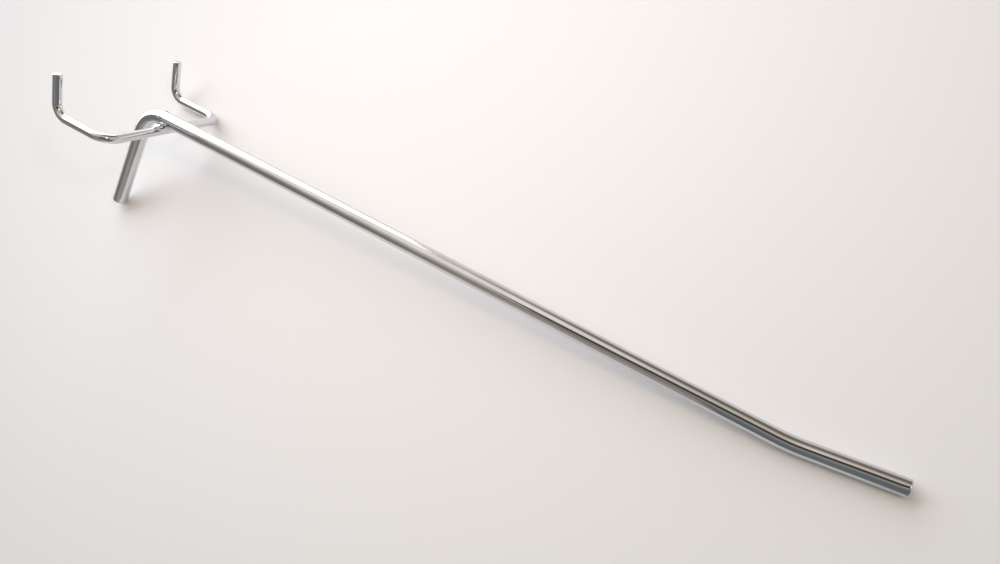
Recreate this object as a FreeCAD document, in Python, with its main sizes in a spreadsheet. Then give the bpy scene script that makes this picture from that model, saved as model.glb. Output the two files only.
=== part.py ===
import FreeCAD, Part
import math
import os
import Sketcher

# Pegboard hook made of two bent wires that are cross-welded to each other.
# The thick arm wire reaches out from the board and turns up a little at its front end. At the back it turns
# down into a leg whose heel bears on the board.
# The thin peg wire is a U welded under the arm. Its two pegs pass through the board and turn up behind it.
# Frame: the board's face is the XZ plane and +Z is up. The arm reaches towards -Y, the pegs towards +Y.
# The origin lies on the board's face, midway between the pegs, at the height of their axes.

# Driving dimensions, in millimetres and degrees.
# A run is measured along a wire's axis to where two axes would meet.
DIMENSIONS = {
    "arm_diameter": 5.0,
    "arm_run": 226.0,
    "arm_rise": 3.5,
    "tip_run": 31.0,
    "tip_turn": 8.5,
    "tip_bend_radius": 55.0,
    "leg_run": 38.0,
    "leg_angle": 101.0,
    "leg_bend_radius": 8.5,
    "arm_end_round": 0.5,
    "peg_diameter": 3.0,
    "peg_spacing": 50.0,
    "peg_reach": 20.7,
    "peg_height": 13.2,
    "peg_lean": 5.0,
    "peg_bend_radius": 4.5,
    "bar_offset": 8.4,
    "bar_bend_radius": 5.0,
    "peg_end_round": 0.35,
    "weld_depth": 0.5,
    "weld_length": 13.0,
    "weld_width": 4.0,
    "weld_height": 3.0,
}


def make_sheet(doc):
    """The spreadsheet of driving dimensions, one aliased cell for each."""
    sheet = doc.addObject("Spreadsheet::Sheet", "Dimensions")
    for row, (name, value) in enumerate(DIMENSIONS.items(), start=1):
        sheet.set(f"A{row}", name)
        sheet.set(f"B{row}", str(value))
        sheet.setAlias(f"B{row}", name)
    doc.recompute()
    return sheet


def cell(name):
    """A length cell, as an expression reads it."""
    return f"Dimensions.{name}"


def angle(name):
    """An angle cell, as an expression reads it."""
    return f"(Dimensions.{name} * 1deg)"


# Height of the peg wire's flat part in the wires' frame: under the arm, and sunk into it by the weld.
PEG_LEVEL = f"({cell('weld_depth')} - ({cell('arm_diameter')} + {cell('peg_diameter')}) / 2)"

# Length of a peg's axis that its upward bend takes up, before the corner of the two axes.
PEG_TANGENT = f"{cell('peg_bend_radius')} * tan((90deg - {angle('peg_lean')}) / 2)"


def peg_level():
    """The first value of PEG_LEVEL, for drawing the sketches."""
    return DIMENSIONS["weld_depth"] - (DIMENSIONS["arm_diameter"] + DIMENSIONS["peg_diameter"]) / 2


def peg_tangent():
    """The first value of PEG_TANGENT, for drawing the sketches."""
    return DIMENSIONS["peg_bend_radius"] * math.tan(math.radians(90 - DIMENSIONS["peg_lean"]) / 2)


def plane(body, role):
    """One of the body's own origin planes."""
    return next(feature for feature in body.Origin.OriginFeatures if feature.Role == role)


def new_sketch(body, name, role, offset=None):
    """A sketch on an origin plane, moved along the plane's normal by an expression."""
    sketch = body.newObject("Sketcher::SketchObject", name)
    sketch.AttachmentSupport = [(plane(body, role), "")]
    sketch.MapMode = "FlatFace"
    if offset:
        sketch.setExpression("AttachmentOffset.Base.z", offset)
    return sketch


def drive(sketch, name, constraint, expression):
    """Adds a dimension to a sketch and binds it to the sheet."""
    sketch.renameConstraint(sketch.addConstraint(constraint), name)
    sketch.setExpression(f"Constraints.{name}", expression)


def line(start, end):
    return Part.LineSegment(FreeCAD.Vector(*start, 0), FreeCAD.Vector(*end, 0))


def arc(centre, radius, first_degrees, last_degrees):
    """An arc that runs counterclockwise between two directions."""
    circle = Part.Circle(FreeCAD.Vector(*centre, 0), FreeCAD.Vector(0, 0, 1), radius)
    return Part.ArcOfCircle(circle, math.radians(first_degrees), math.radians(last_degrees))


def sweep_wire(body, name, path, diameter):
    """Sweeps a round section along a path sketch, from the path's first edge."""
    section = body.newObject("Sketcher::SketchObject", f"{name}_section")
    section.AttachmentSupport = [(path, "Edge1")]
    section.MapMode = "NormalToEdge"
    section.MapPathParameter = 0.0
    origin = FreeCAD.Vector(0, 0, 0)
    section.addGeometry(Part.Circle(origin, FreeCAD.Vector(0, 0, 1), DIMENSIONS[diameter] / 2))
    section.addConstraint(Sketcher.Constraint("Coincident", 0, 3, -1, 1))
    drive(section, "diameter", Sketcher.Constraint("Diameter", 0, DIMENSIONS[diameter]), cell(diameter))
    pipe = body.newObject("PartDesign::AdditivePipe", f"{name}_sweep")
    pipe.Profile = section
    pipe.Spine = path
    body.Document.recompute()
    return pipe


def cut_end_edges(shape, diameter):
    """Names of the round edges that bound a wire's flat cut ends."""
    names = []
    for number, edge in enumerate(shape.Edges, start=1):
        if edge.Curve.TypeId != "Part::GeomCircle" or abs(edge.Curve.Radius - diameter / 2) > 1e-6:
            continue
        faces = shape.ancestorsOfType(edge, Part.Face)
        if any(face.Surface.TypeId == "Part::GeomPlane" for face in faces):
            names.append(f"Edge{number}")
    return names


def round_ends(body, name, diameter, radius):
    """Rounds the rims of a wire's cut ends, as shearing and plating leave them."""
    base = body.Tip
    rounding = body.newObject("PartDesign::Fillet", name)
    rounding.Base = (base, cut_end_edges(base.Shape, DIMENSIONS[diameter]))
    rounding.setExpression("Radius", cell(radius))
    body.Document.recompute()
    return rounding


def seat_on_board(body):
    """Places a wire's frame, whose origin is where the arm's and the leg's axes meet, against the board.

    The arm rises by arm_rise, the leg's heel touches the board's face, and the pegs' axes cross that face
    at z = 0.
    """
    leg, rise = angle("leg_angle"), angle("arm_rise")
    heel_y = f"({cell('arm_diameter')} / 2 * sin({leg}) - {cell('leg_run')} * cos({leg}))"
    heel_z = f"(-{cell('arm_diameter')} / 2 * cos({leg}) - {cell('leg_run')} * sin({leg}))"
    shift_y = f"(-{heel_y} * cos({rise}) - {heel_z} * sin({rise}))"
    shift_z = f"(-({PEG_LEVEL} + {shift_y} * sin({rise})) / cos({rise}))"
    turn = FreeCAD.Rotation(FreeCAD.Vector(-1, 0, 0), DIMENSIONS["arm_rise"])
    body.Placement = FreeCAD.Placement(FreeCAD.Vector(0, 0, 0), turn)
    body.setExpression("Placement.Rotation.Angle", rise)
    body.setExpression("Placement.Base.y", shift_y)
    body.setExpression("Placement.Base.z", shift_z)


def arm_path(body):
    """Leg, bend, arm, bend and tip in the hook's middle plane. The leg's and the arm's axes meet at 0."""
    size = DIMENSIONS
    leg = math.radians(size["leg_angle"])
    turn = math.radians(size["tip_turn"])
    down = (-math.cos(leg), -math.sin(leg))
    out = (-math.cos(turn), math.sin(turn))
    leg_bend = size["leg_bend_radius"]
    tip_bend = size["tip_bend_radius"]
    leg_tangent = leg_bend / math.tan(leg / 2)
    tip_tangent = tip_bend * math.tan(turn / 2)
    front = -size["arm_run"]
    leg_end = (size["leg_run"] * down[0], size["leg_run"] * down[1])
    leg_top = (leg_tangent * down[0], leg_tangent * down[1])
    tip_start = (front + tip_tangent * out[0], tip_tangent * out[1])
    tip_end = (front + size["tip_run"] * out[0], size["tip_run"] * out[1])

    path = new_sketch(body, "arm_path", "YZ_Plane")
    path.addGeometry([
        line(leg_end, leg_top),
        arc((-leg_tangent, -leg_bend), leg_bend, size["leg_angle"] - 90, 90),
        line((-leg_tangent, 0), (front + tip_tangent, 0)),
        arc((front + tip_tangent, tip_bend), tip_bend, 270 - size["tip_turn"], 270),
        line(tip_start, tip_end),
    ])
    corner = path.addGeometry(Part.Point(FreeCAD.Vector(front, 0, 0)), True)
    path.addConstraint([
        Sketcher.Constraint("Tangent", 0, 2, 1, 1),
        Sketcher.Constraint("Tangent", 1, 2, 2, 1),
        Sketcher.Constraint("Tangent", 2, 2, 3, 2),
        Sketcher.Constraint("Tangent", 3, 1, 4, 1),
        Sketcher.Constraint("PointOnObject", 2, 1, -1),
        Sketcher.Constraint("PointOnObject", 2, 2, -1),
        Sketcher.Constraint("PointOnObject", -1, 1, 0),
        Sketcher.Constraint("PointOnObject", corner, 1, -1),
        Sketcher.Constraint("PointOnObject", corner, 1, 4),
    ])
    drive(path, "leg_angle", Sketcher.Constraint("Angle", 0, leg), angle("leg_angle"))
    drive(path, "leg_run", Sketcher.Constraint("Distance", -1, 1, 0, 1, size["leg_run"]), cell("leg_run"))
    drive(path, "leg_bend", Sketcher.Constraint("Radius", 1, leg_bend), cell("leg_bend_radius"))
    drive(path, "arm_run", Sketcher.Constraint("DistanceX", corner, 1, -1, 1, -front), cell("arm_run"))
    drive(path, "tip_bend", Sketcher.Constraint("Radius", 3, tip_bend), cell("tip_bend_radius"))
    drive(path, "tip_turn", Sketcher.Constraint("Angle", 4, math.pi - turn),
          f"180deg - {angle('tip_turn')}")
    drive(path, "tip_run", Sketcher.Constraint("Distance", corner, 1, 4, 2, size["tip_run"]),
          cell("tip_run"))
    return path


def make_arm_wire(doc):
    """The thick wire: leg, arm and upturned tip, bent from one straight length."""
    body = doc.addObject("PartDesign::Body", "arm_wire")
    sweep_wire(body, "arm", arm_path(body), "arm_diameter")
    round_ends(body, "arm_end_rounding", "arm_diameter", "arm_end_round")
    seat_on_board(body)
    return body


def fork_path(body):
    """The peg wire's flat U: a peg's run, the bar across the arm and the other peg's run."""
    size = DIMENSIONS
    half = size["peg_spacing"] / 2
    radius = size["bar_bend_radius"]
    bar = -size["bar_offset"]
    peg_end = bar + size["peg_reach"] - peg_tangent()

    path = new_sketch(body, "fork_path", "XY_Plane", PEG_LEVEL)
    path.addGeometry([
        line((-half, peg_end), (-half, bar + radius)),
        arc((-half + radius, bar + radius), radius, 180, 270),
        line((-half + radius, bar), (half - radius, bar)),
        arc((half - radius, bar + radius), radius, 270, 360),
        line((half, bar + radius), (half, peg_end)),
    ])
    path.addConstraint([
        Sketcher.Constraint("Tangent", 0, 2, 1, 1),
        Sketcher.Constraint("Tangent", 1, 2, 2, 1),
        Sketcher.Constraint("Tangent", 2, 2, 3, 1),
        Sketcher.Constraint("Tangent", 3, 2, 4, 1),
        Sketcher.Constraint("Vertical", 0),
        Sketcher.Constraint("Vertical", 4),
        Sketcher.Constraint("Equal", 1, 3),
        Sketcher.Constraint("Symmetric", 0, 1, 4, 2, -2),
    ])
    drive(path, "bar_bend", Sketcher.Constraint("Radius", 1, radius), cell("bar_bend_radius"))
    drive(path, "peg_spacing", Sketcher.Constraint("DistanceX", 0, 1, 4, 2, 2 * half), cell("peg_spacing"))
    drive(path, "bar_offset", Sketcher.Constraint("DistanceY", 2, 1, -1, 1, -bar), cell("bar_offset"))
    drive(path, "peg_run", Sketcher.Constraint("DistanceY", 2, 1, 0, 1, peg_end - bar),
          f"{cell('peg_reach')} - {PEG_TANGENT}")
    return path


def peg_path(body):
    """One peg's upward bend and its upright end, which leans back from the board."""
    size = DIMENSIONS
    radius = size["peg_bend_radius"]
    lean = math.radians(size["peg_lean"])
    up = (math.sin(lean), math.cos(lean))
    level = peg_level()
    corner = size["peg_reach"] - size["bar_offset"]
    start = corner - peg_tangent()
    bend_end = (corner + peg_tangent() * up[0], level + peg_tangent() * up[1])
    top = (corner + size["peg_height"] * up[0], level + size["peg_height"] * up[1])

    path = new_sketch(body, "peg_path", "YZ_Plane", f"{cell('peg_spacing')} / 2")
    path.addGeometry([
        arc((start, level + radius), radius, 270, 360 - size["peg_lean"]),
        line(bend_end, top),
    ])
    bend_corner = path.addGeometry(Part.Point(FreeCAD.Vector(corner, level, 0)), True)
    path.addConstraint([
        Sketcher.Constraint("Tangent", 0, 2, 1, 1),
        Sketcher.Constraint("Vertical", 0, 3, 0, 1),
        Sketcher.Constraint("Horizontal", 0, 1, bend_corner, 1),
        Sketcher.Constraint("PointOnObject", bend_corner, 1, 1),
    ])
    drive(path, "peg_bend", Sketcher.Constraint("Radius", 0, radius), cell("peg_bend_radius"))
    drive(path, "peg_lean", Sketcher.Constraint("Angle", 1, math.pi / 2 - lean),
          f"90deg - {angle('peg_lean')}")
    drive(path, "peg_height", Sketcher.Constraint("Distance", bend_corner, 1, 1, 2, size["peg_height"]),
          cell("peg_height"))
    drive(path, "peg_reach", Sketcher.Constraint("DistanceX", -1, 1, bend_corner, 1, corner),
          f"{cell('peg_reach')} - {cell('bar_offset')}")
    drive(path, "peg_level", Sketcher.Constraint("DistanceY", bend_corner, 1, -1, 1, -level),
          f"-{PEG_LEVEL}")
    return path


def add_weld_flash(body):
    """The metal that the weld squeezed out along the bar, on both sides of the arm."""
    flash = body.newObject("PartDesign::AdditiveEllipsoid", "weld_flash")
    flash.AttachmentSupport = [(plane(body, "XY_Plane"), "")]
    flash.MapMode = "FlatFace"
    flash.setExpression("AttachmentOffset.Base.y", f"-{cell('bar_offset')}")
    flash.setExpression("AttachmentOffset.Base.z", f"{cell('weld_depth')} / 2 - {cell('arm_diameter')} / 2")
    flash.setExpression("Radius1", f"{cell('weld_height')} / 2")
    flash.setExpression("Radius2", f"{cell('weld_length')} / 2")
    flash.setExpression("Radius3", f"{cell('weld_width')} / 2")
    body.Document.recompute()
    return flash


def make_peg_wire(doc, arm):
    """The thin wire: a U with two upturned pegs, hollowed where the arm sinks into it at the weld."""
    body = doc.addObject("PartDesign::Body", "peg_wire_before_weld")
    sweep_wire(body, "fork", fork_path(body), "peg_diameter")
    upright = sweep_wire(body, "peg", peg_path(body), "peg_diameter")
    mirror = body.newObject("PartDesign::Mirrored", "other_peg")
    mirror.Originals = [upright]
    mirror.MirrorPlane = (plane(body, "YZ_Plane"), [""])
    body.Tip = mirror
    doc.recompute()
    round_ends(body, "peg_end_rounding", "peg_diameter", "peg_end_round")
    add_weld_flash(body)
    seat_on_board(body)

    wire = doc.addObject("Part::Cut", "peg_wire")
    wire.Base = body
    wire.Tool = arm
    return wire


def check(doc, pieces):
    """Stops if an object failed to compute or a piece isn't one valid solid."""
    for item in doc.Objects:
        if {"Invalid", "Error"} & set(item.State):
            raise RuntimeError(f"{item.Label} failed: {item.State}")
    for piece in pieces:
        shape = piece.Shape
        if shape.isNull() or not shape.isValid() or len(shape.Solids) != 1:
            raise RuntimeError(f"{piece.Label} isn't one valid solid")


def main():
    doc = FreeCAD.newDocument("pegboard_hook")
    make_sheet(doc)
    arm = make_arm_wire(doc)
    pegs = make_peg_wire(doc, arm)
    doc.recompute()
    pieces = [arm, pegs]
    check(doc, pieces)
    os.makedirs("parts", exist_ok=True)
    for piece in pieces:
        piece.Shape.exportStep(f"parts/{piece.Label}.step")
        print(piece.Label, round(piece.Shape.Volume, 2), "mm3", piece.Shape.BoundBox)


main()
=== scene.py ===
import math

import bmesh
import bpy
from mathutils import Matrix, Quaternion, Vector, noise


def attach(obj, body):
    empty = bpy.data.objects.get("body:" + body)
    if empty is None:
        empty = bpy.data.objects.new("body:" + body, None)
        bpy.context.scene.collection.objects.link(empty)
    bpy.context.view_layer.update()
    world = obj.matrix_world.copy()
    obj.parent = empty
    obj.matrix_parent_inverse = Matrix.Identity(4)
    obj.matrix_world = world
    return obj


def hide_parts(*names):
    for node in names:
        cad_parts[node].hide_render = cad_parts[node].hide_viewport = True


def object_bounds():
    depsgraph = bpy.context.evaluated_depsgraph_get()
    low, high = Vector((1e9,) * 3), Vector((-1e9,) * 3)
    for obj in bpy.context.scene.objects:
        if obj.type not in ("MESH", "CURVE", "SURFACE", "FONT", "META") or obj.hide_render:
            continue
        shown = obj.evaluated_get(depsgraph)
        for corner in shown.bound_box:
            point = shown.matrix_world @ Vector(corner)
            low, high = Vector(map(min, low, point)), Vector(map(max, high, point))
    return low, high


# A plated wire pegboard hook, lying on a pale sheet as it came to rest: on its leg's end, its arm's tip
# and a corner of its peg wire. The hook keeps the frame it has on a board, so here the sheet is tilted.

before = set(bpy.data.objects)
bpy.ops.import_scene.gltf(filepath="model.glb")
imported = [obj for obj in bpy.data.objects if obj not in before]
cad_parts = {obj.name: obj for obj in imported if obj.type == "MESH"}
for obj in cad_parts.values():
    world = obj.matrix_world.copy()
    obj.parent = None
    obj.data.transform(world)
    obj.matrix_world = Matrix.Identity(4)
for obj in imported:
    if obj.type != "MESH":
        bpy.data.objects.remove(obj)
cad_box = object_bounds()

MM = 0.001

# Sizes of the two wires, in millimetres and degrees, as in the solids.
# A run goes to where two axes would meet.
ARM_RADIUS = 2.5
ARM_RUN = 226.0
ARM_RISE = 3.5
TIP_RUN = 31.0
TIP_TURN = 8.5
TIP_BEND = 55.0
LEG_RUN = 38.0
LEG_ANGLE = 101.0
LEG_BEND = 8.5
PEG_RADIUS = 1.5
PEG_SPACING = 50.0
PEG_REACH = 20.7
PEG_HEIGHT = 13.2
PEG_LEAN = 5.0
PEG_BEND = 4.5
BAR_OFFSET = 8.4
BAR_BEND = 5.0
WELD_DEPTH = 0.5
WELD_LENGTH = 13.0
WELD_WIDTH = 4.0
WELD_HEIGHT = 3.0
ARM_END_ROUND = 0.5
PEG_END_ROUND = 0.35
PEG_LEVEL = WELD_DEPTH - ARM_RADIUS - PEG_RADIUS

# How finely the wires and the weld flash are drawn.
ARM_SIDES = 56
PEG_SIDES = 40
RUN_STEP = 2.5
BEND_STEP = 3.0
RIM_STEPS = 5
FLASH_SEGMENTS = (72, 48)
FLASH_LUMP = 0.05
FLASH_LUMP_SCALE = 2.2
FLASH_LUMP_PLACE = Vector((4, 1, 7))

# The plating's marks: about how many there are to a metre, and how high they stand, in metres.
# The lines have a scale along the wire and one across it.
LINES_SCALE = (40.0, 2600.0, 1.0)
LINES_HEIGHT = 0.000004
WAVES_SCALE = 260.0
WAVES_HEIGHT = 0.00001
CLOUD_SCALE = 90.0
LUMPS_SCALE = 500.0
LUMPS_HEIGHT = 0.00001

# The camera, in millimetres and degrees: where it stands, what it looks at, and its turn about its axis.
CAMERA_AT = Vector((-215.84, -202.03, 128.25))
CAMERA_LOOKS_AT = Vector((0.0, -142.787, 15.447))
CAMERA_ROLL = 23.51
CAMERA_LENS = 31.03
CAMERA_SENSOR = 36.0
CAMERA_NEAREST = 10.0

# The light, in the sheet's frame, in metres and degrees. The window is a broad panel and the lamp a small
# square. The lamp's bulb is a panel of its own, which only the wires show.
WINDOW_AZIMUTH = 140.0
WINDOW_DISTANCE = 1.0
WINDOW_SHIFT = 0.595
WINDOW_SIZE = (2.13, 1.5)
WINDOW_RADIANCE = 3.3
WINDOW_COLOUR = (0.85, 0.915, 1.0)
LAMP_DIRECTION = (-12.0, 50.0)
LAMP_DISTANCE = 1.2
LAMP_SIZE = 0.14
LAMP_RADIANCE = 30.6
LAMP_COLOUR = (1.0, 0.63, 0.35)
BULB_DISTANCE = 1.15
BULB_RADIANCE = 10.0
BULB_COLOUR = (1.0, 0.93, 0.80)

# What shows only in the wires, in metres: painted shade and painted reflections. The cards and the glare
# lie on the sheet round the picture's edges, each with its middle and size in the sheet's frame. The cards
# are painted shade, and the glare, a bright patch on the window's side, is a painted sheen. The screen, a
# painted dark reflection, stands on the viewer's side of the tip. The viewer is a painted reflection of the
# dark round the camera, and its middle is in the camera's frame.
NEAR_PAINTED_SHADE = ((0.415, -0.564), (1.0, 1.0))
LEFT_PAINTED_SHADE = ((-0.67, -0.12), (1.0, 0.36))
RIGHT_PAINTED_SHADE = ((0.29, 0.40), (0.50, 0.50))
GLARE = ((-0.21, 0.36), (0.38, 0.36))
CARD_LEVEL = 0.0005
# Colours of the painted shade, the painted sheen and the painted dark reflections.
PAINTED_SHADE_COLOUR = (0.25, 0.25, 0.24)
PAINTED_HALF_SHADE_COLOUR = (0.50, 0.50, 0.49)
GLARE_COLOUR = (1.5, 1.49, 1.47)
SCREEN_MIDDLE = (0.13, -0.25, 0.10)
SCREEN_SIZE = (0.34, 0.20)
SCREEN_PAINTED_REFLECTION_COLOUR = (0.11, 0.132, 0.14)
VIEWER_MIDDLE = (-0.005, 0.0, 0.01)
VIEWER_SIZE = (0.30, 0.105)
VIEWER_PAINTED_REFLECTION_COLOUR = (0.075, 0.068, 0.053)

# Soft patches of the room round the sheet: azimuth, elevation, inner and outer angle, and colour. They were
# fitted to the bands that the wires show in the photo, and rounded. The backdrop is what the camera sees.
ROOM_COLOUR = (0.66, 0.60, 0.52)
ROOM_PATCHES = [
    ((-158, 18, 12, 44), (0.23, 0.22, 0.20)),  # left
    ((115, 61, 18, 31), (1.06, 0.98, 0.88)),  # behind, high
    ((50, 29, 5, 31), (0.20, 0.17, 0.135)),  # behind, on the right
    ((97, 13, 9, 29), (0.97, 0.96, 0.94)),  # behind, low
    ((-106, 43, 20, 29), (0.27, 0.255, 0.23)),  # viewer's side
    ((-75, 29, 25, 38), (0.20, 0.21, 0.225)),  # viewer's side, on the right
    ((-122, 14, 8, 24), (0.39, 0.375, 0.33)),  # viewer's side, low on the left
    ((-102, 62, 4, 12), (0.30, 0.30, 0.28)),  # viewer's side, high
]
BACKDROP = (0.76, 0.755, 0.745)

# The sheet has a painted pool of light: it is brightest at one spot, in its own frame in metres, and duller
# away from it. Over the far fade it turns into the backdrop.
SHEET_REACH = 4.0
PAINTED_POOL_SPOT = (-0.005, 0.107, 0.0)
PAINTED_POOL_FADE = 0.30
PAINTED_POOL_BRIGHT = (0.905, 0.885, 0.89, 1)
PAINTED_POOL_DULL = (0.62, 0.635, 0.645, 1)
SHEET_FAR_FADE = (0.30, 0.75)
SHEET_FAR = (0.50, 0.505, 0.51, 1)


def seat():
    """From the wires' frame, where the arm's and leg's axes meet at 0, to the frame on the board."""
    leg, rise = math.radians(LEG_ANGLE), math.radians(ARM_RISE)
    heel_y = ARM_RADIUS * math.sin(leg) - LEG_RUN * math.cos(leg)
    heel_z = -ARM_RADIUS * math.cos(leg) - LEG_RUN * math.sin(leg)
    shift_y = -heel_y * math.cos(rise) - heel_z * math.sin(rise)
    shift_z = -(PEG_LEVEL + shift_y * math.sin(rise)) / math.cos(rise)
    return Matrix.Translation((0, shift_y, shift_z)) @ Matrix.Rotation(-rise, 4, "X")


def arm_corners():
    """Leg's end, the two corners and the tip's end of the arm wire's axis."""
    leg, turn = math.radians(LEG_ANGLE), math.radians(TIP_TURN)
    front = Vector((0, -ARM_RUN, 0))
    return [
        LEG_RUN * Vector((0, -math.cos(leg), -math.sin(leg))),
        Vector((0, 0, 0)),
        front,
        front + TIP_RUN * Vector((0, -math.cos(turn), math.sin(turn))),
    ]


def peg_corners():
    """The peg wire's axis from one upright's top to the other's."""
    lean = math.radians(PEG_LEAN)
    up = PEG_HEIGHT * Vector((0, math.sin(lean), math.cos(lean)))
    bar = -BAR_OFFSET
    half = []
    for y in (bar, bar + PEG_REACH):
        half.append(Vector((PEG_SPACING / 2, y, PEG_LEVEL)))
    half.append(half[-1] + up)
    other = [Vector((-p.x, p.y, p.z)) for p in half]
    return other[::-1] + half


def bent_axis(corners, radii):
    """Points along a wire's axis, straight between its bends and round in them."""
    points = [corners[0].copy()]
    for index, radius in enumerate(radii, start=1):
        corner = corners[index]
        back = (corners[index - 1] - corner).normalized()
        ahead = (corners[index + 1] - corner).normalized()
        turn = math.pi - back.angle(ahead)
        tangent = radius * math.tan(turn / 2)
        start = corner + tangent * back
        centre = corner + (back + ahead).normalized() * radius / math.cos(turn / 2)
        add_run(points, start)
        steps = max(4, round(math.degrees(turn) / BEND_STEP))
        axis = back.cross(ahead).normalized()
        for i in range(1, steps + 1):
            points.append(centre + Quaternion(axis, -turn * i / steps) @ (start - centre))
    add_run(points, corners[-1])
    return points


def add_run(points, end):
    """Adds evenly spaced points from the last one to the end of a straight run."""
    start = points[-1].copy()
    count = max(1, round((end - start).length / RUN_STEP))
    for i in range(1, count + 1):
        points.append(start.lerp(end, i / count))


def wire(name, corners, radii, radius, end_round, sides):
    """A round wire swept along its bent axis, with cut ends. Its UVs are its length and girth in metres."""
    axis = bent_axis(corners, radii)
    bm = bmesh.new()
    uv = bm.loops.layers.uv.new("wire")
    normal = Vector((1, 0, 0))  # across the plane that each wire starts in
    loops = []
    travelled = []
    last = None
    for centre, tangent, ring_radius in rounded_rings(axis, radius, end_round):
        if last:
            normal = last[1].rotation_difference(tangent) @ normal
        normal = (normal - normal.dot(tangent) * tangent).normalized()
        side = tangent.cross(normal)
        travelled.append(travelled[-1] + (centre - last[0]).length if last else 0.0)
        ring = []
        for i in range(sides):
            angle = 2 * math.pi * i / sides
            outward = math.cos(angle) * normal + math.sin(angle) * side
            ring.append(bm.verts.new(centre + ring_radius * outward))
        loops.append(ring)
        last = (centre, tangent)
    girth = 2 * math.pi * radius
    for k in range(len(loops) - 1):
        for i in range(sides):
            j = (i + 1) % sides
            face = bm.faces.new((loops[k][i], loops[k][j], loops[k + 1][j], loops[k + 1][i]))
            face.smooth = True
            corners_uv = ((k, i), (k, i + 1), (k + 1, i + 1), (k + 1, i))
            for loop, (row, column) in zip(face.loops, corners_uv):
                loop[uv].uv = (travelled[row] * MM, girth * column / sides * MM)
    for ring, flip in ((loops[0], True), (loops[-1], False)):
        face = bm.faces.new(ring[::-1] if flip else ring)
        for loop in face.loops:
            loop[uv].uv = (loop.vert.co.x * MM, loop.vert.co.z * MM)
    bmesh.ops.recalc_face_normals(bm, faces=bm.faces)
    return add_piece(name, bm, seat())


def rounded_rings(axis, radius, end_round):
    """(centre, tangent, radius) of each ring of a wire, with a rounded rim at each cut end."""
    last = len(axis) - 1
    tangents = []
    for i in range(len(axis)):
        tangents.append((axis[min(i + 1, last)] - axis[max(i - 1, 0)]).normalized())

    def rim(end, inward, tangent):
        rings = []
        for i in range(RIM_STEPS + 1):
            angle = math.pi / 2 * i / RIM_STEPS
            depth = end_round * (1 - math.cos(angle))
            inset = end_round * (1 - math.sin(angle))
            rings.append((end + inward * depth, tangent, radius - inset))
        return rings

    first_rim = rim(axis[0], tangents[0], tangents[0])
    last_rim = rim(axis[-1], -tangents[-1], tangents[-1])
    between = [(point, tangent, radius) for point, tangent in zip(axis[1:-1], tangents[1:-1])]
    return first_rim + between + last_rim[::-1]


def add_piece(name, bm, placement):
    """Makes an object of a mesh drawn in millimetres, placed in the row frame."""
    bm.transform(Matrix.Scale(MM, 4) @ placement)
    mesh = bpy.data.meshes.new(name)
    bm.to_mesh(mesh)
    bm.free()
    piece = bpy.data.objects.new(name, mesh)
    bpy.context.scene.collection.objects.link(piece)
    return piece


def weld_flash():
    """The lumpy ridge that the weld squeezed out along the bar, on both sides of the arm."""
    bm = bmesh.new()
    around, along = FLASH_SEGMENTS
    bmesh.ops.create_uvsphere(bm, u_segments=around, v_segments=along, radius=1.0)
    centre = Vector((0, -BAR_OFFSET, WELD_DEPTH / 2 - ARM_RADIUS))
    half_size = Vector((WELD_LENGTH, WELD_WIDTH, WELD_HEIGHT)) / 2
    dimension, lacunarity, octaves = 1.0, 2.0, 2
    for vert in bm.verts:
        place = vert.co * FLASH_LUMP_SCALE + FLASH_LUMP_PLACE
        lump = noise.fractal(place, dimension, lacunarity, octaves)
        vert.co *= 1 - FLASH_LUMP + FLASH_LUMP * max(-1.0, min(1.0, lump))
        vert.co = centre + vert.co * half_size
    for face in bm.faces:
        face.smooth = True
    return add_piece("weld_flash", bm, seat())


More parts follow.
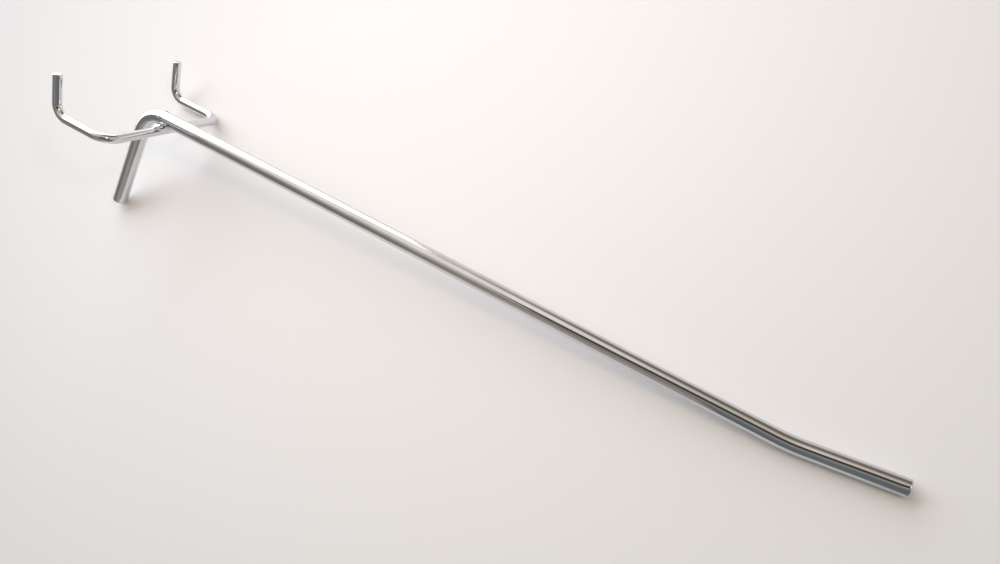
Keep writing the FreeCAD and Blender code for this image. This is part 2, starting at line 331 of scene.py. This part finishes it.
class Nodes:
    """Short calls for building a node tree."""

    def __init__(self, tree):
        self.tree = tree
        tree.nodes.clear()

    def add(self, kind, **settings):
        node = self.tree.nodes.new(kind)
        for name, value in settings.items():
            setattr(node, name, value)
        return node

    def link(self, source, target):
        self.tree.links.new(source, target)

    def feed(self, socket, value):
        """Links an output to a socket, or sets the socket to a plain value."""
        if isinstance(value, bpy.types.NodeSocket):
            self.link(value, socket)
        else:
            socket.default_value = value

    def math(self, operation, first, second):
        node = self.add("ShaderNodeMath", operation=operation)
        self.link(first, node.inputs[0])
        self.link(second, node.inputs[1])
        return node.outputs[0]

    def dot(self, vector, direction):
        node = self.add("ShaderNodeVectorMath", operation="DOT_PRODUCT")
        self.link(vector, node.inputs[0])
        node.inputs[1].default_value = direction
        return node.outputs["Value"]

    def scaled(self, vector, factors):
        node = self.add("ShaderNodeVectorMath", operation="MULTIPLY")
        self.link(vector, node.inputs[0])
        node.inputs[1].default_value = factors
        return node.outputs["Vector"]

    def noise(self, vector, scale, detail):
        node = self.add("ShaderNodeTexNoise")
        self.link(vector, node.inputs["Vector"])
        node.inputs["Scale"].default_value = scale
        node.inputs["Detail"].default_value = detail
        return node.outputs["Fac"]

    def ramp(self, value, low, high, to_low=0.0, to_high=1.0):
        """Maps low..high smoothly to to_low..to_high, clamped."""
        node = self.add("ShaderNodeMapRange", interpolation_type="SMOOTHSTEP")
        self.link(value, node.inputs["Value"])
        node.inputs["From Min"].default_value = low
        node.inputs["From Max"].default_value = high
        node.inputs["To Min"].default_value = to_low
        node.inputs["To Max"].default_value = to_high
        return node.outputs["Result"]

    def mix(self, factor, first, second):
        node = self.add("ShaderNodeMix", data_type="RGBA")
        self.feed(node.inputs["Factor"], factor)
        self.feed(node.inputs[6], first)
        self.feed(node.inputs[7], second)
        return node.outputs[2]

    def mix_shader(self, factor, first, second):
        node = self.add("ShaderNodeMixShader")
        self.link(factor, node.inputs[0])
        self.link(first.outputs[0], node.inputs[1])
        self.link(second.outputs[0], node.inputs[2])
        return node

    def bump(self, height, distance, normal=None):
        node = self.add("ShaderNodeBump")
        node.inputs["Strength"].default_value = 1.0
        node.inputs["Distance"].default_value = distance
        self.link(height, node.inputs["Height"])
        if normal:
            self.link(normal, node.inputs["Normal"])
        return node.outputs["Normal"]

    def surface(self, shader):
        """Makes a shader the one that shows."""
        out = self.add("ShaderNodeOutputMaterial")
        self.link(shader.outputs[0], out.inputs["Surface"])


def new_material(name):
    """A material and its empty node tree."""
    material = bpy.data.materials.new(name)
    material.use_nodes = True
    return material, Nodes(material.node_tree)


def plated_wire():
    """Bright plating over drawn wire: fine lines along it, faint waviness and a slightly uneven tone."""
    material, n = new_material("plated_wire")
    uv = n.add("ShaderNodeUVMap", uv_map="wire").outputs["UV"]
    place = n.add("ShaderNodeTexCoord").outputs["Object"]
    lines = n.noise(n.scaled(uv, LINES_SCALE), 1.0, 3.0)
    waves = n.noise(place, WAVES_SCALE, 3.0)
    cloud = n.noise(place, CLOUD_SCALE, 4.0)
    shader = n.add("ShaderNodeBsdfPrincipled")
    shader.inputs["Metallic"].default_value = 1.0
    tone = n.mix(n.ramp(cloud, 0.35, 0.7), (0.64, 0.645, 0.665, 1), (0.70, 0.70, 0.72, 1))
    n.link(tone, shader.inputs["Base Color"])
    n.link(n.ramp(lines, 0.3, 0.7, 0.05, 0.09), shader.inputs["Roughness"])
    drawn = n.bump(lines, LINES_HEIGHT)
    n.link(n.bump(waves, WAVES_HEIGHT, drawn), shader.inputs["Normal"])
    n.surface(shader)
    return material


def flash_metal():
    """The weld's plated lumps, a little rougher in their dips and darker there with painted shade."""
    material, n = new_material("weld_flash")
    place = n.add("ShaderNodeTexCoord").outputs["Object"]
    lumps = n.noise(place, LUMPS_SCALE, 2.0)
    shader = n.add("ShaderNodeBsdfPrincipled")
    shader.inputs["Metallic"].default_value = 1.0
    # Painted shade: the tone is darker where the lumps dip.
    tone = n.mix(n.ramp(lumps, 0.35, 0.65), (0.58, 0.58, 0.59, 1), (0.68, 0.68, 0.70, 1))
    n.link(tone, shader.inputs["Base Color"])
    n.link(n.ramp(lumps, 0.3, 0.7, 0.12, 0.07), shader.inputs["Roughness"])
    n.link(n.bump(lumps, LUMPS_HEIGHT), shader.inputs["Normal"])
    n.surface(shader)
    return material


def pale_sheet():
    """Matt off-white paper with a painted pool of light, which fades into the backdrop. From below it is
    clear and hides nothing.
    """
    material, n = new_material("pale_sheet")
    place = n.add("ShaderNodeTexCoord").outputs["Object"]
    away = n.add("ShaderNodeVectorMath", operation="DISTANCE")
    n.link(place, away.inputs[0])
    away.inputs[1].default_value = PAINTED_POOL_SPOT
    far = n.ramp(away.outputs["Value"], *SHEET_FAR_FADE)
    # The painted pool of light: bright at the spot and duller away from it.
    near = n.mix(n.ramp(away.outputs["Value"], 0.0, PAINTED_POOL_FADE), PAINTED_POOL_BRIGHT, PAINTED_POOL_DULL)
    paper = n.add("ShaderNodeBsdfDiffuse")
    n.link(n.mix(far, near, SHEET_FAR), paper.inputs["Color"])
    backdrop = n.add("ShaderNodeEmission")
    backdrop.inputs["Color"].default_value = BACKDROP + (1,)
    path = n.add("ShaderNodeLightPath")
    seen = n.math("MAXIMUM", path.outputs["Is Camera Ray"], path.outputs["Is Glossy Ray"])
    above = n.mix_shader(n.math("MULTIPLY", far, seen), paper, backdrop)
    clear = n.add("ShaderNodeBsdfTransparent")
    below = n.add("ShaderNodeNewGeometry").outputs["Backfacing"]
    n.surface(n.mix_shader(below, above, clear))
    return material


def add_camera():
    data = bpy.data.cameras.new("camera")
    data.sensor_width = CAMERA_SENSOR
    data.lens = CAMERA_LENS
    data.clip_start = CAMERA_NEAREST * MM
    camera = bpy.data.objects.new("camera", data)
    look = (CAMERA_LOOKS_AT - CAMERA_AT).to_track_quat("-Z", "Y")
    roll = Quaternion((0, 0, 1), math.radians(CAMERA_ROLL))
    camera.matrix_world = Matrix.Translation(CAMERA_AT * MM) @ (look @ roll).to_matrix().to_4x4()
    bpy.context.scene.collection.objects.link(camera)
    bpy.context.scene.camera = camera
    return camera


def table_frame(camera):
    """The frame of the sheet the hook lies on: X to the picture's right, Z up from the sheet.

    The sheet touches the hook at its leg's end, its arm's tip and the peg wire's far corner.
    """
    points = [v.co.copy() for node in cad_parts.values() for v in node.data.vertices]
    low, high = Vector(cad_box[0]), Vector(cad_box[1])
    near_end = 8 * MM
    leg = [p for p in points if p.z < low.z + near_end]
    tip = [p for p in points if p.y < low.y + near_end]
    corner = [p for p in points if p.x > high.x - near_end]
    up = Vector((-0.8, 0.1, 0.6))  # a first guess, which the rounds below settle
    for _ in range(20):
        a, b, c = (min(group, key=up.dot) for group in (leg, tip, corner))
        up = (b - a).cross(c - a).normalized()
        if up.z < 0:
            up.negate()
    right = camera.matrix_world.to_3x3() @ Vector((1, 0, 0))
    right = (right - right.dot(up) * up).normalized()
    middle = (low + high) / 2
    middle -= (middle - a).dot(up) * up
    basis = Matrix((right, up.cross(right), up)).transposed()
    return Matrix.Translation(middle) @ basis.to_4x4()


def direction(azimuth, elevation):
    """A direction in the sheet's frame: azimuth 0 to the picture's right and 90 to its top, in degrees."""
    a, e = math.radians(azimuth), math.radians(elevation)
    return Vector((math.cos(a) * math.cos(e), math.sin(a) * math.cos(e), math.sin(e)))


def add_flat(name, place, reach, material):
    """A flat square that is no part of the hook, which reaches equally far each way from its middle."""
    bm = bmesh.new()
    bmesh.ops.create_grid(bm, x_segments=1, y_segments=1, size=reach)
    mesh = bpy.data.meshes.new(name)
    bm.to_mesh(mesh)
    bm.free()
    mesh.materials.append(material)
    flat = bpy.data.objects.new(name, mesh)
    flat.matrix_world = place
    bpy.context.scene.collection.objects.link(flat)
    return flat


def add_panel(name, table, at, facing, size, radiance, colour):
    """A soft rectangular light at a place in the sheet's frame, shining along facing."""
    data = bpy.data.lights.new(name, "AREA")
    data.shape = "RECTANGLE"
    data.size, data.size_y = size
    data.energy = radiance * math.pi * size[0] * size[1]
    data.color = colour
    light = bpy.data.objects.new(name, data)
    light.visible_camera = False
    turn = facing.to_track_quat("-Z", "Y").to_matrix().to_4x4()
    light.matrix_world = table @ Matrix.Translation(at) @ turn
    bpy.context.scene.collection.objects.link(light)
    return light


def add_window(table):
    """A broad cool light standing behind the sheet on the left, like a window."""
    facing = direction(WINDOW_AZIMUTH + 180, 0)
    along = Vector((0, 0, 1)).cross(facing)
    at = -facing * WINDOW_DISTANCE + along * WINDOW_SHIFT + Vector((0, 0, WINDOW_SIZE[1] / 2))
    add_panel("window", table, at, facing, WINDOW_SIZE, WINDOW_RADIANCE, WINDOW_COLOUR)


def add_lamp(table):
    """A small warm lamp, high on the right. Its glow lights the sheet, its bulb glints in the wires."""
    toward = direction(*LAMP_DIRECTION)
    size = (LAMP_SIZE, LAMP_SIZE)
    glow = add_panel("lamp_glow", table, toward * LAMP_DISTANCE, -toward, size, LAMP_RADIANCE, LAMP_COLOUR)
    glow.visible_glossy = False
    bulb = add_panel("lamp_bulb", table, toward * BULB_DISTANCE, -toward, size, BULB_RADIANCE, BULB_COLOUR)
    bulb.visible_diffuse = False


def card_paper(name, colour, kind):
    """One colour all over, matt or shining by the kind of shader."""
    material, n = new_material(name)
    shader = n.add(kind)
    shader.inputs["Color"].default_value = colour + (1,)
    n.surface(shader)
    return material


def add_card(name, place, size, colour, kind="ShaderNodeBsdfDiffuse"):
    """A painted reflection: a card that lights nothing and that only the wires' reflections show."""
    half_metre = 0.5
    sized = place @ Matrix.Diagonal((*size, 1, 1))
    card = add_flat(name, sized, half_metre, card_paper(name, colour, kind))
    card.visible_camera = False
    card.visible_diffuse = False
    card.visible_shadow = False


def add_cards(camera, table):
    """Painted shade, sheen and reflections that lie and stand round the picture: some of the wires' dark
    and bright lines.
    """
    # The cards on the sheet are painted shade, and the glare is a painted sheen.
    for name, (middle, size), colour, kind in (
        ("near_painted_shade", NEAR_PAINTED_SHADE, PAINTED_SHADE_COLOUR, "ShaderNodeBsdfDiffuse"),
        ("left_painted_shade", LEFT_PAINTED_SHADE, PAINTED_SHADE_COLOUR, "ShaderNodeBsdfDiffuse"),
        ("right_painted_shade", RIGHT_PAINTED_SHADE, PAINTED_HALF_SHADE_COLOUR, "ShaderNodeBsdfDiffuse"),
        ("glare", GLARE, GLARE_COLOUR, "ShaderNodeEmission"),
    ):
        add_card(name, table @ Matrix.Translation((*middle, CARD_LEVEL)), size, colour, kind)
    # The screen and the viewer are painted dark reflections.
    upright = Matrix.Translation(SCREEN_MIDDLE) @ Matrix.Rotation(math.pi / 2, 4, "X")
    add_card("screen", table @ upright, SCREEN_SIZE, SCREEN_PAINTED_REFLECTION_COLOUR)
    at_camera = camera.matrix_world @ Matrix.Translation(VIEWER_MIDDLE)
    add_card("viewer", at_camera, VIEWER_SIZE, VIEWER_PAINTED_REFLECTION_COLOUR)


def add_room(table):
    """The room's soft patches, which light the sheet and show in the wires, and the camera's backdrop."""
    world = bpy.data.worlds.new("room")
    bpy.context.scene.world = world
    world.use_nodes = True
    n = Nodes(world.node_tree)
    ray = n.add("ShaderNodeTexCoord").outputs["Generated"]
    turn = table.to_3x3()

    def patch(azimuth, elevation, inner, outer):
        """1 within inner degrees of a direction, 0 beyond outer."""
        cosine = n.dot(ray, turn @ direction(azimuth, elevation))
        return n.ramp(cosine, math.cos(math.radians(outer)), math.cos(math.radians(inner)))

    room = ROOM_COLOUR + (1,)
    for place, colour in ROOM_PATCHES:
        room = n.mix(patch(*place), room, colour + (1,))
    seen = n.add("ShaderNodeLightPath").outputs["Is Camera Ray"]
    background = n.add("ShaderNodeBackground")
    n.link(n.mix(seen, room, BACKDROP + (1,)), background.inputs["Color"])
    out = n.add("ShaderNodeOutputWorld")
    n.link(background.outputs[0], out.inputs["Surface"])


def build():
    camera = add_camera()
    table = table_frame(camera)
    add_flat("sheet", table, SHEET_REACH, pale_sheet())
    add_window(table)
    add_lamp(table)
    add_cards(camera, table)
    add_room(table)

    arm_bends = [LEG_BEND, TIP_BEND]
    peg_bends = [PEG_BEND, BAR_BEND, BAR_BEND, PEG_BEND]
    arm = wire("arm_wire_plated", arm_corners(), arm_bends, ARM_RADIUS, ARM_END_ROUND, ARM_SIDES)
    pegs = wire("peg_wire_plated", peg_corners(), peg_bends, PEG_RADIUS, PEG_END_ROUND, PEG_SIDES)
    flash = weld_flash()
    plated = plated_wire()
    for piece, node, material in (
        (arm, "arm_wire", plated),
        (pegs, "peg_wire", plated),
        (flash, "peg_wire", flash_metal()),
    ):
        piece.data.materials.append(material)
        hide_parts(node)
        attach(piece, "root")
    bpy.context.scene.view_settings.view_transform = "Standard"


build()
